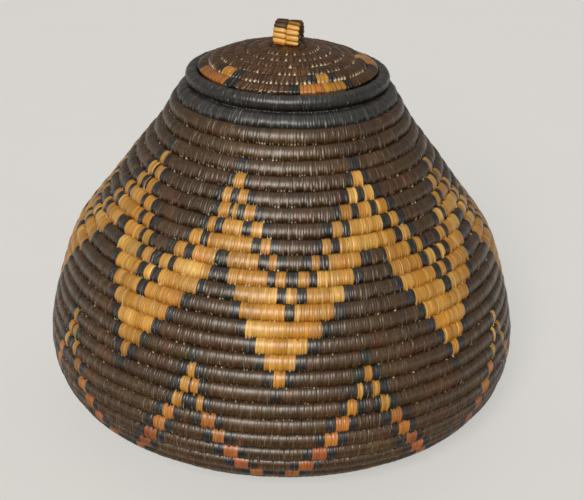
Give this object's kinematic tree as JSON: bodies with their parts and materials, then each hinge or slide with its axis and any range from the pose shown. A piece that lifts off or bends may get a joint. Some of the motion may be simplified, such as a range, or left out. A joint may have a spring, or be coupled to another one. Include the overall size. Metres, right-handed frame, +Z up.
{
  "type": "lidded coiled basket",
  "caption": "Round-bellied coiled palm basket for holding and serving beer, with a lift-off domed lid that drops into its mouth and a looped knob.",
  "frame": {"origin": "middle of the base's underside, where the basket rests on a level surface", "axes": "+Z up through the lid's knob, -Y towards the front that the picture shows"},
  "size_m": [0.2954, 0.2954, 0.2478],
  "materials": {
    "body_palm": "dyed palm strips sewn over a grass core, brown with golden, orange and black figures, satin",
    "black_palm": "black dyed palm strips sewn over a grass core, satin",
    "lid_palm": "brown dyed palm strips sewn over a grass core, with short golden and orange figures, satin",
    "golden_palm": "undyed golden palm strips wound over a grass core, satin"
  },
  "bodies": {
    "basket": {"base_coil_01": "body_palm", "base_coil_02": "body_palm", "base_coil_03": "body_palm", "base_coil_04": "body_palm", "base_coil_05": "body_palm", "base_coil_06": "body_palm", "base_coil_07": "body_palm", "base_start_knot": "body_palm", "mouth_ring": "black_palm", "shoulder_coil": "black_palm", "wall_coil_01": "body_palm", "wall_coil_02": "body_palm", "wall_coil_03": "body_palm", "wall_coil_04": "body_palm", "wall_coil_05": "body_palm", "wall_coil_06": "body_palm", "wall_coil_07": "body_palm", "wall_coil_08": "body_palm", "wall_coil_09": "body_palm", "wall_coil_10": "body_palm", "wall_coil_11": "body_palm", "wall_coil_12": "body_palm", "wall_coil_13": "body_palm", "wall_coil_14": "body_palm", "wall_coil_15": "body_palm", "wall_coil_16": "body_palm", "wall_coil_17": "body_palm", "wall_coil_18": "body_palm", "wall_coil_19": "body_palm", "wall_coil_20": "body_palm", "wall_coil_21": "body_palm", "wall_coil_22": "body_palm", "wall_coil_23": "body_palm", "wall_coil_24": "body_palm", "wall_coil_25": "body_palm", "wall_coil_26": "body_palm", "wall_coil_27": "body_palm", "wall_coil_28": "body_palm", "wall_coil_29": "body_palm", "wall_coil_30": "body_palm"},
    "lid": {"knob_loop_left": "golden_palm", "knob_loop_right": "golden_palm", "lid_coil_01": "lid_palm", "lid_coil_02": "lid_palm", "lid_coil_03": "lid_palm", "lid_coil_04": "lid_palm", "lid_coil_05": "lid_palm", "lid_coil_06": "lid_palm", "lid_collar_ring_1": "lid_palm", "lid_collar_ring_2": "lid_palm", "lid_collar_ring_3": "lid_palm", "lid_edge_roll": "black_palm", "lid_start_knot": "lid_palm"}
  },
  "joints": [
    {"name": "lid_lift", "type": "slide", "parent": "basket", "child": "lid", "axis": [0, 0, 1], "range_m": [0, 0.2]}
  ]
}
